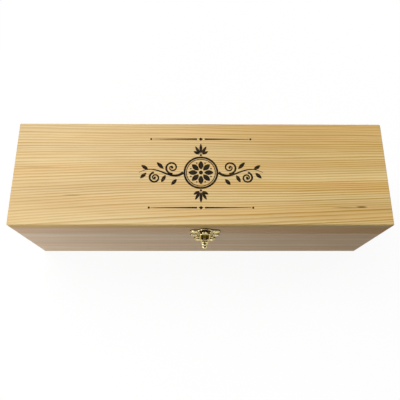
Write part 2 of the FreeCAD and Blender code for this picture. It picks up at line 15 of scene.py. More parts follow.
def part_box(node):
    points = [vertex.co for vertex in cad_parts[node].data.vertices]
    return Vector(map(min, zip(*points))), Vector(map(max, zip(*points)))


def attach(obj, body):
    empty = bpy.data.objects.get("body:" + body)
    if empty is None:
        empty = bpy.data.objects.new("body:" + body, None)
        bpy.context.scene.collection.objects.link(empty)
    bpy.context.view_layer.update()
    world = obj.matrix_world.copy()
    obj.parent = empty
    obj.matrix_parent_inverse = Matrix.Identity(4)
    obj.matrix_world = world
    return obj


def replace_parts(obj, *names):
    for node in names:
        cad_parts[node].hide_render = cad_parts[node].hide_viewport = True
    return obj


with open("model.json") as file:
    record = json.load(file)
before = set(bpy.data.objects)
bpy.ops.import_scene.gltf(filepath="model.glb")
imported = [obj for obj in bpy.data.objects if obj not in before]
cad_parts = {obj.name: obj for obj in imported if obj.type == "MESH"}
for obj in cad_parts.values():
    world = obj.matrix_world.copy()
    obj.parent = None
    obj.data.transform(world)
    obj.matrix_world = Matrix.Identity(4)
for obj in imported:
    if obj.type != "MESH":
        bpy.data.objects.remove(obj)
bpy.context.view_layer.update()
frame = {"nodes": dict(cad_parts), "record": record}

MM = 0.001
WELD = MM / 1000
NODES = frame["nodes"]
JOINTS = {joint["name"]: joint for joint in frame["record"]["behaviour"]["joints"]}
LEVER_PIVOT = Vector(JOINTS["lever_pivot"]["pos_m"])
LOOP_PIVOT = Vector(JOINTS["loop_pivot"]["pos_m"])
SEAM_HEIGHT = JOINTS["lid_hinge"]["pos_m"][2]
RIGHT = Vector((1.0, 0.0, 0.0))
BACK = Vector((0.0, 1.0, 0.0))
FRONT = Vector((0.0, -1.0, 0.0))
UP = Vector((0.0, 0.0, 1.0))
WHITE = (1.0, 1.0, 1.0, 1.0)


# Shader nodes

class Graph:
    """The node tree of a material or a world, with short calls for the nodes used here."""

    def __init__(self, owner):
        owner.use_nodes = True
        self.owner = owner
        self.tree = owner.node_tree
        self.tree.nodes.clear()

    def put(self, socket, value):
        """Links a socket to another node's output, or sets its constant."""
        if isinstance(value, bpy.types.NodeSocket):
            self.tree.links.new(value, socket)
        elif value is not None:
            socket.default_value = value

    def node(self, kind, inputs=(), **settings):
        """A new node with these settings and inputs."""
        made = self.tree.nodes.new(kind)
        for name, value in settings.items():
            setattr(made, name, value)
        for name, value in dict(inputs).items():
            self.put(made.inputs[name], value)
        return made

    def math(self, operation, first, second=None, third=None, clamp=False):
        """The result of an operation on numbers."""
        made = self.node("ShaderNodeMath", operation=operation, use_clamp=clamp)
        for socket, value in zip(made.inputs, (first, second, third)):
            self.put(socket, value)
        return made.outputs[0]

    def scaled(self, value, gain, base, clamp=False):
        """A number times gain, plus base."""
        return self.math("MULTIPLY_ADD", value, gain, base, clamp)

    def vector(self, operation, first, second=None):
        """The result of an operation on vectors or colours."""
        made = self.node("ShaderNodeVectorMath", operation=operation)
        self.put(made.inputs[0], first)
        self.put(made.inputs[1], second)
        return made.outputs["Value" if operation in ("LENGTH", "DOT_PRODUCT") else "Vector"]

    def times(self, vector, level):
        """A vector or colour times a level."""
        levels = self.node("ShaderNodeCombineXYZ", {"X": level, "Y": level, "Z": level})
        return self.vector("MULTIPLY", vector, levels.outputs[0])

    def millimetres(self, turn=0.0):
        """The surface point in millimetres, turned about Z."""
        coordinates = self.node("ShaderNodeTexCoord")
        return self.node("ShaderNodeMapping", {
            "Vector": coordinates.outputs["Object"],
            "Scale": (1 / MM,) * 3,
            "Rotation": (0.0, 0.0, turn),
        }).outputs[0]

    def facing(self, axis):
        """How squarely the surface faces along an axis, from 0 to 1."""
        normal = self.node("ShaderNodeTexCoord").outputs["Normal"]
        return self.math("ABSOLUTE", self.vector("DOT_PRODUCT", normal, axis))

    def noise(self, place, scale, detail=2.0, roughness=0.5, move=0.0):
        """Noise over a place, stretched by scale, in a range of about 0 to 1."""
        stretched = self.node("ShaderNodeMapping", {"Vector": place, "Scale": scale, "Location": (move,) * 3})
        made = self.node("ShaderNodeTexNoise", {
            "Vector": stretched.outputs[0], "Scale": 1.0, "Detail": detail, "Roughness": roughness})
        return made.outputs["Fac"]

    def ramp(self, value, *stops):
        """A ramp of grey levels through stops (place, level)."""
        made = self.node("ShaderNodeValToRGB", {"Fac": value})
        elements = made.color_ramp.elements
        while len(elements) < len(stops):
            elements.new(0.5)
        for element, (place, level) in zip(elements, stops):
            element.position = place
            element.color = (level, level, level, 1.0)
        return made.outputs["Color"]

    def mix(self, factor, first, second):
        """A colour between two others."""
        made = self.node("ShaderNodeMix", data_type="RGBA")
        for name, value in (("Factor_Float", factor), ("A_Color", first), ("B_Color", second)):
            socket = next(socket for socket in made.inputs if socket.identifier == name)
            self.put(socket, (*value, 1.0) if isinstance(value, tuple) else value)
        return next(socket for socket in made.outputs if socket.identifier == "Result_Color")

    def bump(self, height, strength, depth):
        """The surface's direction over a fine relief, whose depth is in millimetres."""
        return self.node("ShaderNodeBump", {
            "Height": height, "Strength": strength, "Distance": depth * MM}).outputs[0]

    def seen(self):
        """One on rays by which the camera sees a thing: straight, mirrored or through something clear."""
        ray = self.node("ShaderNodeLightPath").outputs
        mirrored = self.math("MAXIMUM", ray["Is Camera Ray"], ray["Is Glossy Ray"])
        return self.math("MAXIMUM", mirrored, ray["Is Transmission Ray"])

    def surface(self, shader, output="ShaderNodeOutputMaterial"):
        """Ends the tree with a shader."""
        self.node(output, {"Surface": shader.outputs[0]})

    def finish(self, inputs):
        """The material, with a surface of these inputs."""
        self.surface(self.node("ShaderNodeBsdfPrincipled", inputs))
        return self.owner


# Wood

PALE_WOOD = (0.762, 0.590, 0.278)
HONEY_WOOD = (0.728, 0.488, 0.190)
LATE_WOOD = (0.460, 0.235, 0.012)
RESIN = (0.15, 0.064, 0.004)

# The axes that grain follows, and the turns that bring them to X
GRAIN_AXIS = {"X": (1.0, 0.0, 0.0), "Y": (0.0, 1.0, 0.0)}
GRAIN_TURN = {"X": 0.0, "Y": -math.pi / 2}

# Patterns in the wood: scales per mm along the grain and across it, and places that set patterns apart
SLOW_SCALE = (0.0045, 0.012, 0.012)
QUICK_SCALE = (0.018, 0.08, 0.08)
SPREAD_SCALE = 0.06
PATCH_SCALE = (0.02, 0.25, 0.25)
PATCH_PLACE = 11.0
BOLD_SCALE = (0.005, 0.018, 0.018)
BOLD_PLACE = 71.0
FIBRE_SCALE = (0.03, 1.6, 1.6)
FIBRE_BREAKS = 0.6
BROAD_SCALE = (0.005, 0.06, 0.06)
BROAD_PLACE = 5.0
DUCT_SCALE = (0.09, 2.4, 2.4)
DUCT_PLACE = 3.0
HONEY_SCALE = (0.003, 0.075, 0.075)
HONEY_PLACE = 43.0

# Growth rings: how far waves bend them, how unevenly the years lie, and how dark each year's late wood is
SLOW_WAVE = 7.0
QUICK_WAVE = 1.2
SPREAD_YEARS = 3.0
YEAR_TONES = ((0.0, 0.0), (0.4, 0.06), (0.78, 0.7), (0.92, 1.0), (1.0, 0.08))
YEAR_WEIGHT = 0.7
PATCH_WEIGHT = 0.9
LEAST_WEIGHT = 0.1
BOLD_RANGE = 1.6
LEAST_BOLD = 0.2

# Tones between the rings: honey bands, dark fibres, resin ducts and a broad change along the board
HONEY_TONES = ((0.36, 0.0), (0.62, 1.0))
FIBRE_TONE = 0.6
FIBRE_CLEAR = 0.17
DUCT_TONES = ((0.0, 0.0), (0.69, 0.0), (0.77, 1.0))
DUCT_TONE = 0.25
BROAD_RANGE = 0.36
LEAST_BROAD = 0.84

# A board of two strips: the lower one's wood lies elsewhere in the tree and is paler, below a dark glue line
STRIP_JUMP = (400.0, 0.0, 37.0)
STRIP_PALER = 0.11
GLUE_HALF = 0.3
GLUE_DARKER = 0.16

# Cut ends and sawn edges, by how squarely a face looks along the grain, or up
END_TONES = ((0.6, 0.0), (0.85, 0.4))
EDGE_TONES = ((0.3, 1.0), (0.8, 0.0))
EDGE_ROUGHER = 0.22

# The planed surface
PLAIN_FINISH = (0.38, 0.38)
FIBRE_ROUGHER = 0.18
RING_SMOOTHER = 0.06
WOOD_GLOSS = 0.5
WOOD_IOR = 1.5
FIBRE_RELIEF = 0.6
RING_RELIEF = 0.5
GRAIN_STRENGTH = 0.25
GRAIN_DEPTH = 0.06

# The front boards: tones and roughness at the left and at the right, and the length over which they change.
# The tones run from a paler, greyer left, painted light and sheen, to a darker, browner right, painted shade
LID_FRONT_TONES_AND_PAINTED_LIGHT = ((0.96, 0.90, 1.25), (0.84, 0.72, 0.62))
BASE_FRONT_TONES_AND_PAINTED_LIGHT = ((1.00, 1.00, 1.45), (0.93, 0.86, 0.90))
LID_FRONT_FINISH = (0.33, 0.56)
BASE_FRONT_FINISH = (0.29, 0.43)
BOARD_RUN = 300.0
FRONT_GLUE_HEIGHT = 35.0

# Resin streaks on the lid: x, y, half length, half width and strength
STREAKS = ((147.0, -33.7, 6.2, 1.0, 1.0), (133.0, -34.4, 15.0, 0.8, 0.5), (-118.0, -22.5, 10.0, 0.7, 0.5),
           (-153.0, 5.2, 24.0, 0.7, 0.4))
STREAK_HALFWAY = 0.85


def growth_rings(graph, wood, spot, pith, ring, lean):
    """How dark the growth rings are: years of distance from the pith, bent by waves along the board."""
    across = graph.vector("MULTIPLY", graph.vector("SUBTRACT", wood, (0.0, *pith)), (0.0, 1.0, 1.0))
    slope = graph.scaled(spot["Y"], lean[1], -lean[0])
    bent = graph.scaled(spot["X"], slope, graph.vector("LENGTH", across))
    bent = graph.scaled(graph.noise(wood, SLOW_SCALE, detail=1.0), SLOW_WAVE, bent)
    bent = graph.scaled(graph.noise(wood, QUICK_SCALE), QUICK_WAVE, bent)
    spread = graph.node("ShaderNodeTexNoise", {
        "W": bent, "Scale": SPREAD_SCALE, "Detail": 1.0}, noise_dimensions="1D").outputs["Fac"]
    years = graph.scaled(spread, SPREAD_YEARS, graph.math("DIVIDE", bent, ring))
    late = graph.ramp(graph.math("FRACT", years), *YEAR_TONES)
    year = graph.node("ShaderNodeTexWhiteNoise", {
        "W": graph.math("FLOOR", years)}, noise_dimensions="1D").outputs["Value"]
    patchy = graph.noise(wood, PATCH_SCALE, move=PATCH_PLACE)
    weight = graph.scaled(year, YEAR_WEIGHT, graph.scaled(patchy, PATCH_WEIGHT, LEAST_WEIGHT))
    bold = graph.noise(wood, BOLD_SCALE, detail=1.0, move=BOLD_PLACE)
    bold = graph.scaled(bold, BOLD_RANGE, LEAST_BOLD)
    return graph.math("MULTIPLY", late, graph.math("MULTIPLY", weight, bold), clamp=True)


def wood_colour(graph, wood, rings, fibre):
    """The colour of rings, honey bands, fibres and resin ducts."""
    honey = graph.ramp(graph.noise(wood, HONEY_SCALE, move=HONEY_PLACE), *HONEY_TONES)
    duct = graph.ramp(graph.noise(wood, DUCT_SCALE, detail=1.0, move=DUCT_PLACE), *DUCT_TONES)
    colour = graph.mix(rings, graph.mix(honey, PALE_WOOD, HONEY_WOOD), LATE_WOOD)
    colour = graph.mix(graph.scaled(fibre, FIBRE_TONE, -FIBRE_CLEAR, clamp=True), colour, LATE_WOOD)
    return graph.mix(graph.math("MULTIPLY", duct, DUCT_TONE), colour, RESIN)


def resin_streaks(graph, place, streaks, colour):
    """The colour with resin streaks on it, and how much of each place they cover, or None without streaks."""
    cover = None
    for x, y, half_length, half_width, strength in streaks:
        off = graph.vector("SUBTRACT", place, (x, y, 0.0))
        off = graph.vector("DIVIDE", off, (half_length, half_width, 1.0))
        reach = graph.vector("LENGTH", graph.vector("MULTIPLY", off, (1.0, 1.0, 0.0)))
        mark = graph.ramp(reach, (0.0, strength), (0.5, STREAK_HALFWAY * strength), (1.0, 0.0))
        colour = graph.mix(mark, colour, RESIN)
        cover = mark if cover is None else graph.math("MAXIMUM", mark, cover)
    return colour, cover


def pine(name, pith, ring, shift, along="X", tint=(1.0, 1.0, 1.0), far_painted_shade=None, finish=PLAIN_FINISH,
         lean=(0.012, 0.0), streaks=(), joint=None, sawn=0.0):
    """Solid pine: growth rings about a pith line, so that faces show streaks and cut ends show arcs.

    along is the axis of the grain, pith the place of the pith line across it, ring the width of a year's
    growth and shift the board's place along the tree. tint is the board's tone, at the left end if
    far_painted_shade is given, which is its tone at the right end; on the front boards that run is painted
    light and shade. finish is its roughness at the left end and, with far_painted_shade, at the right. lean
    is the slope of the grain to the board, and how that slope falls across it, per mm. streaks are resin
    marks on an upper face. joint is the height where a second strip is glued on below. sawn darkens and
    roughens the edges of a panel.
    """
    graph = Graph(bpy.data.materials.new(name))
    place = graph.millimetres(GRAIN_TURN[along])
    spot = graph.node("ShaderNodeSeparateXYZ", {"Vector": place}).outputs
    wood = graph.vector("ADD", place, (shift, 0.0, 0.0))
    below = None
    if joint is not None:
        below = graph.math("LESS_THAN", spot["Z"], joint)
        wood = graph.vector("ADD", wood, graph.times(STRIP_JUMP, below))

    rings = growth_rings(graph, wood, spot, pith, ring, lean)
    fibre = graph.noise(wood, FIBRE_SCALE, detail=3.0, roughness=FIBRE_BREAKS)
    colour = wood_colour(graph, wood, rings, fibre)
    colour, resin = resin_streaks(graph, place, streaks, colour)

    level = graph.scaled(graph.noise(wood, BROAD_SCALE, move=BROAD_PLACE), BROAD_RANGE, LEAST_BROAD)
    if joint is not None:
        glue = graph.math("COMPARE", spot["Z"], joint, GLUE_HALF)
        level = graph.scaled(below, STRIP_PALER, graph.scaled(glue, -GLUE_DARKER, level))
    dullness = finish[0]
    # The front boards' tone runs from painted light and sheen at the left to painted shade at the right
    if far_painted_shade:
        run = graph.scaled(spot["X"], 1 / BOARD_RUN, 0.5, clamp=True)
        tint = graph.mix(run, tint, far_painted_shade)
        dullness = graph.scaled(run, finish[1] - finish[0], finish[0])
    colour = graph.vector("MULTIPLY", graph.times(colour, level), tint)
    rough = graph.scaled(fibre, FIBRE_ROUGHER, graph.scaled(rings, -RING_SMOOTHER, dullness))
    gloss = WOOD_GLOSS if resin is None else graph.scaled(resin, -WOOD_GLOSS, WOOD_GLOSS, clamp=True)

    # Cut ends soak up more and read darker, and sawn edges a little
    if sawn:
        edge = graph.ramp(graph.facing(tuple(UP)), *EDGE_TONES)
        colour = graph.times(colour, graph.scaled(edge, -sawn, 1.0))
        rough = graph.scaled(edge, EDGE_ROUGHER, rough)
    end = graph.ramp(graph.facing(GRAIN_AXIS[along]), *END_TONES)
    colour = graph.mix(end, colour, LATE_WOOD)

    relief = graph.scaled(fibre, FIBRE_RELIEF, graph.math("MULTIPLY", rings, -RING_RELIEF))
    return graph.finish({
        "Base Color": colour,
        "Roughness": rough,
        "IOR": WOOD_IOR,
        "Specular IOR Level": gloss,
        "Normal": graph.bump(relief, GRAIN_STRENGTH, GRAIN_DEPTH),
    })


# Brass and ink

# The film on brass: its patches, the hollows that it fills, and the marks of rubbing and pits
FILM_SCALE = (0.5, 0.5, 0.5)
FILM_TONES = ((0.35, 1.0), (0.6, 0.1), (1.0, 0.0))
HOLLOW_REACH = 1.6
HOLLOW_SAMPLES = 8
HOLLOW_TONES = ((0.0, 1.0), (0.5, 0.7), (0.9, 0.0))
HOLLOW_FILM = 0.9
FILM_ROUGHER = 0.2
RUB_SCALE = (0.8, 6.0, 6.0)
RUB_ROUGHER = 0.12
RUB_RELIEF = 0.4
PIT_SCALE = (4.0, 4.0, 4.0)
PIT_RELIEF = 0.4
BRASS_STRENGTH = 0.2
BRASS_DEPTH = 0.06

INK_BLACK = (0.012, 0.009, 0.007)
INK_GRAIN_SCALE = (0.05, 1.5, 1.5)
INK_GRAIN_TONES = ((0.5, 0.0), (0.75, 0.3))
INK_MOTTLE_SCALE = (0.4, 0.4, 0.4)
INK_MOTTLE = 0.2
INK_ROUGH = 0.6
INK_IOR = 1.35
INK_GLOSS = 0.15
INK_STRENGTH = 0.2
INK_DEPTH = 0.03


def brass(name, bright, dark, edge, rough, film):
    """Plated brass: bright metal under a darker film that gathers in patches and in the hollows.

    edge is the tint of its glancing reflections, rough the bright metal's roughness and film the cover in the
    patches.
    """
    graph = Graph(bpy.data.materials.new(name))
    place = graph.millimetres()
    patch = graph.ramp(graph.noise(place, FILM_SCALE, detail=3.0, roughness=0.6), *FILM_TONES)
    rub = graph.noise(place, RUB_SCALE)
    pit = graph.noise(place, PIT_SCALE)
    room = graph.node("ShaderNodeAmbientOcclusion", {"Distance": HOLLOW_REACH * MM}, samples=HOLLOW_SAMPLES)
    hollow = graph.math("MULTIPLY", graph.ramp(room.outputs["AO"], *HOLLOW_TONES), HOLLOW_FILM)
    cover = graph.math("MAXIMUM", graph.math("MULTIPLY", patch, film), hollow)
    relief = graph.scaled(pit, PIT_RELIEF, graph.math("MULTIPLY", rub, RUB_RELIEF))
    return graph.finish({
        "Base Color": graph.mix(cover, bright, dark),
        "Metallic": 1.0,
        "Specular Tint": (*edge, 1.0),
        "Roughness": graph.scaled(cover, FILM_ROUGHER, graph.scaled(rub, RUB_ROUGHER, rough)),
        "Normal": graph.bump(relief, BRASS_STRENGTH, BRASS_DEPTH),
    })


def ink(name):
    """Black printing ink, thin enough that the grain shows through in fine dashes."""
    graph = Graph(bpy.data.materials.new(name))
    place = graph.millimetres()
    dashes = graph.noise(place, INK_GRAIN_SCALE, detail=3.0, roughness=0.6)
    grain = graph.ramp(dashes, *INK_GRAIN_TONES)
    mottle = graph.noise(place, INK_MOTTLE_SCALE)
    return graph.finish({
        "Base Color": graph.mix(grain, INK_BLACK, LATE_WOOD),
        "Roughness": graph.scaled(mottle, INK_MOTTLE, INK_ROUGH),
        "IOR": INK_IOR,
        "Specular IOR Level": INK_GLOSS,
        "Normal": graph.bump(grain, INK_STRENGTH, INK_DEPTH),
    })


BOARDS = {
    "lid_top_panel": pine("pine_top", pith=(-140.0, 20.0), ring=2.1, shift=40.0, lean=(0.0125, 0.0005),
                          streaks=STREAKS, sawn=0.04),
    "lid_front_rail": pine("pine_lid_front", pith=(-95.0, -90.0), ring=2.6, shift=260.0,
                           tint=LID_FRONT_TONES_AND_PAINTED_LIGHT[0], far_painted_shade=LID_FRONT_TONES_AND_PAINTED_LIGHT[1], finish=LID_FRONT_FINISH),
    "base_front_board": pine("pine_base_front", pith=(-120.0, 190.0), ring=2.8, shift=520.0,
                             tint=BASE_FRONT_TONES_AND_PAINTED_LIGHT[0], far_painted_shade=BASE_FRONT_TONES_AND_PAINTED_LIGHT[1], finish=BASE_FRONT_FINISH,
                             joint=FRONT_GLUE_HEIGHT),
    "lid_back_rail": pine("pine_lid_back", pith=(120.0, 240.0), ring=2.5, shift=910.0),
    "base_back_board": pine("pine_base_back", pith=(130.0, -90.0), ring=2.7, shift=1240.0),
    "bottom_panel": pine("pine_bottom", pith=(-160.0, 70.0), ring=2.6, shift=1610.0),
    "lid_left_end": pine("pine_lid_left", pith=(110.0, 260.0), ring=2.5, shift=130.0, along="Y"),
    "lid_right_end": pine("pine_lid_right", pith=(-120.0, 230.0), ring=2.4, shift=330.0, along="Y"),
    "base_left_end": pine("pine_base_left", pith=(90.0, -80.0), ring=2.6, shift=710.0, along="Y"),
    "base_right_end": pine("pine_base_right", pith=(-80.0, 200.0), ring=2.7, shift=990.0, along="Y"),
}
HINGE_BRASS = brass("hinge_brass", bright=(0.78, 0.57, 0.25), dark=(0.36, 0.24, 0.08),
                    edge=(0.85, 0.70, 0.40), rough=0.24, film=0.35)
LATCH_BRASS = brass("latch_brass", bright=(0.92, 0.78, 0.43), dark=(0.09, 0.06, 0.009),
                    edge=(0.90, 0.76, 0.42), rough=0.1, film=0.5)
LATCH_GROUND = brass("latch_ground", bright=(0.20, 0.15, 0.065), dark=(0.04, 0.031, 0.012),
                     edge=(0.5, 0.4, 0.2), rough=0.2, film=0.9)


def metal_of(name):
    """The metal of a node: hinges are plated, the catch is antiqued, and its plates' ground is darkest."""
    if name.startswith("hinge"):
        return HINGE_BRASS
    return LATCH_GROUND if name.endswith("plate") else LATCH_BRASS


for name, node in NODES.items():
    node.data.materials.clear()
    node.data.materials.append(BOARDS.get(name) or metal_of(name))


# Building pieces

def new_piece(name, data, material, body, replaced=()):
    """Puts a mesh or curve in the scene as a piece that rides on a body and stands for the replaced nodes."""
    data.materials.append(material)
    made = bpy.data.objects.new(name, data)
    bpy.context.scene.collection.objects.link(made)
    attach(made, body)
    if replaced:
        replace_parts(made, *replaced)
    return made


def welded(node):
    """A node's mesh, with the points welded that its faces share."""
    work = bmesh.new()
    work.from_mesh(node.data)
    bmesh.ops.remove_doubles(work, verts=work.verts, dist=WELD)
    return work


def solid_boxes(node):
    """The lowest and highest corners of each separate solid of a node."""
    work = welded(node)
    left = set(work.verts)
    boxes = []
    for first in work.verts:
        if first not in left:
            continue
        left.discard(first)
        group, queue = {first}, [first]
        while queue:
            vertex = queue.pop()
            near = {edge.other_vert(vertex) for edge in vertex.link_edges} & left
            left -= near
            group |= near
            queue.extend(near)
        spans = [[vertex.co[axis] for vertex in group] for axis in range(3)]
        boxes.append((Vector(map(min, spans)), Vector(map(max, spans))))
    work.free()
    return boxes


def skin(work, rings, steps):
    """Adds the faces between rings of points, each of which has all the steps or is one point."""
    for low, high in zip(rings, rings[1:]):
        for step in range(steps):
            corners = [low[step % len(low)], low[(step + 1) % len(low)],
                       high[(step + 1) % len(high)], high[step % len(high)]]
            work.faces.new(list(dict.fromkeys(corners)))


def turned(work, profile, place, outward, steps=28):
    """Adds a turned solid: profile is (radius, distance along outward) from its inner end to its outer."""
    spin = UP.rotation_difference(outward).to_matrix()
    rings = []
    for radius, along in profile:
        ring = []
        for step in range(steps if radius > 0 else 1):
            angle = 2 * math.pi * step / steps
            local = Vector((radius * math.cos(angle), radius * math.sin(angle), along)) * MM
            ring.append(work.verts.new(place + spin @ local))
        rings.append(ring)
    skin(work, rings, steps)


def dome(radius, low, high, steps=6):
    """The profile of a rounded head from its rim at low to its middle at high."""
    angles = [math.pi / 2 * step / steps for step in range(steps + 1)]
    return [(radius * math.cos(angle) if step < steps else 0.0, low + (high - low) * math.sin(angle))
            for step, angle in enumerate(angles)]


def smooth_mesh(name, work, sharp=35.0):
    """A mesh of the work, smooth but for edges that turn by more than sharp degrees."""
    bmesh.ops.recalc_face_normals(work, faces=work.faces)
    mesh = bpy.data.meshes.new(name)
    work.to_mesh(mesh)
    work.free()
    mesh.shade_smooth()
    mesh.set_sharp_from_angle(angle=math.radians(sharp))
    return mesh


# Screws and nails: shanks are radii, and a rim is the upright edge of a rounded head

SCREW_SHANK = 1.0
SCREW_HEAD_HEIGHT = 0.8
SCREW_RIM = 0.25
RECESS_REACH = 1.05
RECESS_HALF = 0.22
RECESS_DEPTH = 0.55
NAIL_SHANK = 0.6
NAIL_HEAD_HEIGHT = 0.7
NAIL_RIM = 0.1


def heads(name, node, outward, shank, head_height, rim, body, material):
    """Round-headed fasteners where the node has its solids: the piece, and the seats of its heads."""
    work = bmesh.new()
    seats = []
    for low, high in solid_boxes(NODES[node]):
        middle = (low + high) / 2
        radius = (high.x - low.x) / 2 / MM
        length = (high.y - low.y) / MM - head_height
        crown = Vector((middle.x, high.y if outward.y > 0 else low.y, middle.z))
        seat = crown - outward * head_height * MM
        turned(work, [(0.0, -length), (shank, -length), (shank, 0.0), (radius, 0.0),
                      *dome(radius, rim, head_height)], seat, outward)
        seats.append(seat)
    return new_piece(name, smooth_mesh(name, work), material, body, [node]), seats


def cross_recesses(piece, seats, outward):
    """Cuts a cross into each screw's head."""
    work = bmesh.new()
    for seat in seats:
        top = seat + outward * SCREW_HEAD_HEIGHT * MM
        for wide, tall in ((RECESS_REACH, RECESS_HALF), (RECESS_HALF, RECESS_REACH)):
            size = Matrix.Diagonal((2 * wide * MM, 2 * RECESS_DEPTH * MM, 2 * tall * MM, 1.0))
            bmesh.ops.create_cube(work, size=1.0, matrix=Matrix.Translation(top) @ size)
    mesh = bpy.data.meshes.new("recesses")
    work.to_mesh(mesh)
    work.free()
    cutter = bpy.data.objects.new("recesses", mesh)
    bpy.context.scene.collection.objects.link(cutter)
    cut = piece.modifiers.new("recesses", "BOOLEAN")
    cut.object = cutter
    cut.operation = "DIFFERENCE"
    cut.solver = "EXACT"
    cut.use_self = True
    whole = piece.data
    result = bpy.data.meshes.new_from_object(piece.evaluated_get(bpy.context.evaluated_depsgraph_get()))
    piece.modifiers.clear()
    piece.data = result
    bpy.data.objects.remove(cutter)
    bpy.data.meshes.remove(mesh)
    bpy.data.meshes.remove(whole)


for body in ("base", "lid"):
    piece, seats = heads(f"{body}_hinge_screws", f"hinge_{body}_screws", BACK,
                         SCREW_SHANK, SCREW_HEAD_HEIGHT, SCREW_RIM, body, HINGE_BRASS)
    cross_recesses(piece, seats, BACK)
for name, node, body in (("catch_plate_nails", "latch_catch_nails", "lid"),
                         ("lever_plate_nails", "latch_base_nails", "base")):
    heads(name, node, FRONT, NAIL_SHANK, NAIL_HEAD_HEIGHT, NAIL_RIM, body, LATCH_BRASS)


# The catch: bent wire, and the raised work on its plates, hook and lever

BEAD_ROUNDNESS = 3
WIRE_RADIUS = 0.7
WIRE_FOOT_BEND = 0.9
WIRE_TOP_BEND = 2.0
WIRE_END = 2.7


def bead(name, runs, radius, body, closed=False, thin=1.0):
    """Round wire or raised beads along runs of points, as one piece; thin is the share left at an end."""
    curve = bpy.data.curves.new(name, "CURVE")
    curve.dimensions = "3D"
    curve.bevel_depth = radius * MM
    curve.bevel_resolution = BEAD_ROUNDNESS
    curve.use_fill_caps = True
    for run in runs:
        spline = curve.splines.new("POLY")
        spline.points.add(len(run) - 1)
        for number, (point, place) in enumerate(zip(spline.points, run)):
            point.co = (*place, 1.0)
            point.radius = 1.0 + (thin - 1.0) * number / (len(run) - 1)
        spline.use_cyclic_u = closed
        spline.use_smooth = True
    return new_piece(name, curve, LATCH_BRASS, body)


def rounded(corners, radii, steps=6):
    """A path with each of its inner corners rounded to its own radius."""
    path = [corners[0]]
    for before, corner, after, radius in zip(corners, corners[1:], corners[2:], radii):
        back, on = (before - corner).normalized(), (after - corner).normalized()
        half = back.angle(on) / 2
        middle = corner + (back + on).normalized() * radius / math.sin(half)
        start, stop = (corner + way * radius / math.tan(half) - middle for way in (back, on))
        path += [middle + start.slerp(stop, step / steps) * radius for step in range(steps + 1)]
    return path + [corners[-1]]


def wire_loop():
    """The loop of bent wire, through the lever's eyes and up to its bar."""
    low, high = (Vector(corner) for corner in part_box("latch_loop"))
    wire = WIRE_RADIUS * MM
    end = RIGHT * (WIRE_END * MM)
    side = RIGHT * (high.x - wire - LOOP_PIVOT.x)
    bar = Vector((LOOP_PIVOT.x, low.y + wire, high.z - wire))
    corners = [LOOP_PIVOT + end, LOOP_PIVOT + side, bar + side,
               bar - side, LOOP_PIVOT - side, LOOP_PIVOT - end]
    bends = [bend * MM for bend in (WIRE_FOOT_BEND, WIRE_TOP_BEND, WIRE_TOP_BEND, WIRE_FOOT_BEND)]
    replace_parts(bead("wire_loop", [rounded(corners, bends)], WIRE_RADIUS, "latch_loop"), "latch_loop")


wire_loop()


RIM_STEP = 0.5
RIM_INSET = 0.62
RIM_RADIUS = 0.45
NAIL_RING_RADIUS = 2.35
SCROLL_RADIUS = 0.52
SCROLL_THIN = 0.5
FRONT_FACING = 0.99
INSET_KEPT = 0.93

# Sides and heights are from the catch's middle at the lid's seam. Scrolls are (side, height, outer radius,
# inner radius, start in degrees, turns) and ribs are pairs of (side, height)
CATCH_SCROLLS = ((6.6, 4.6, 2.4, 0.5, 15.0, 1.3), (6.6, 12.2, 1.7, 0.4, 205.0, 1.2))
CATCH_RIBS = (((0.9, 14.6), (1.3, 16.7)), ((2.7, 14.2), (3.7, 15.9)))
LEVER_PLATE_SCROLLS = ((9.4, -4.4, 2.4, 0.5, 200.0, 1.4), (6.3, -12.0, 1.6, 0.4, 90.0, 1.2))
LEVER_PLATE_RIBS = (((3.4, -24.6), (7.4, -25.0)), ((5.6, -2.1), (7.0, -6.8)))


def front_outline(node):
    """The outline of a plate's broad front face, in order, and the y of that face."""
    work = welded(node)
    areas = {}
    for face in work.faces:
        if face.normal.y < -FRONT_FACING:
            level = round(face.calc_center_median().y / MM, 2)
            areas.setdefault(level, []).append(face)
    level, faces = max(areas.items(), key=lambda item: sum(face.calc_area() for face in item[1]))
    chosen = set(faces)
    edges = [edge for face in faces for edge in face.edges if len(chosen & set(edge.link_faces)) == 1]
    loops = []
    while edges:
        edge = edges.pop()
        start, here = edge.verts
        loop = [here.co.copy()]
        while here != start:
            edge = next(edge for edge in here.link_edges if edge in edges)
            edges.remove(edge)
            here = edge.other_vert(here)
            loop.append(here.co.copy())
        loops.append(loop)
    work.free()
    longest = max(loops, key=lambda loop: sum((a - b).length for a, b in zip(loop, loop[1:])))
    return longest, level * MM


def evenly(loop, step):
    """A closed loop's points, taken again at an even step."""
    closed = loop + loop[:1]
    lengths = [(b - a).length for a, b in zip(closed, closed[1:])]
    count = round(sum(lengths) / step)
    points, index, run = [], 0, 0.0
    for number in range(count):
        target = sum(lengths) * number / count
        while run + lengths[index] < target:
            run += lengths[index]
            index += 1
        points.append(closed[index].lerp(closed[index + 1], (target - run) / lengths[index]))
    return points


def inset(loop, distance):
    """A closed loop in the XZ plane, moved inwards, without the points that come too near its edge."""
    area = sum(a.x * b.z - b.x * a.z for a, b in zip(loop, loop[1:] + loop[:1]))
    inward = 1 if area > 0 else -1
    moved = []
    for before, here, after in zip(loop[-1:] + loop[:-1], loop, loop[1:] + loop[:1]):
        along = (after - before).normalized()
        point = here + Vector((-along.z, 0.0, along.x)) * inward * distance
        if min((point - other).length for other in loop) > INSET_KEPT * distance:
            moved.append(point)
    return moved


def scroll(centre, outer, inner, start, turns, steps=36):
    """A spiral in the XZ plane about a centre, from its outer radius to its inner one."""
    points = []
    for step in range(steps + 1):
        share = step / steps
        angle = start + 2 * math.pi * turns * share
        radius = (outer + (inner - outer) * share) * MM
        points.append(centre + Vector((math.cos(angle), 0.0, math.sin(angle))) * radius)
    return points


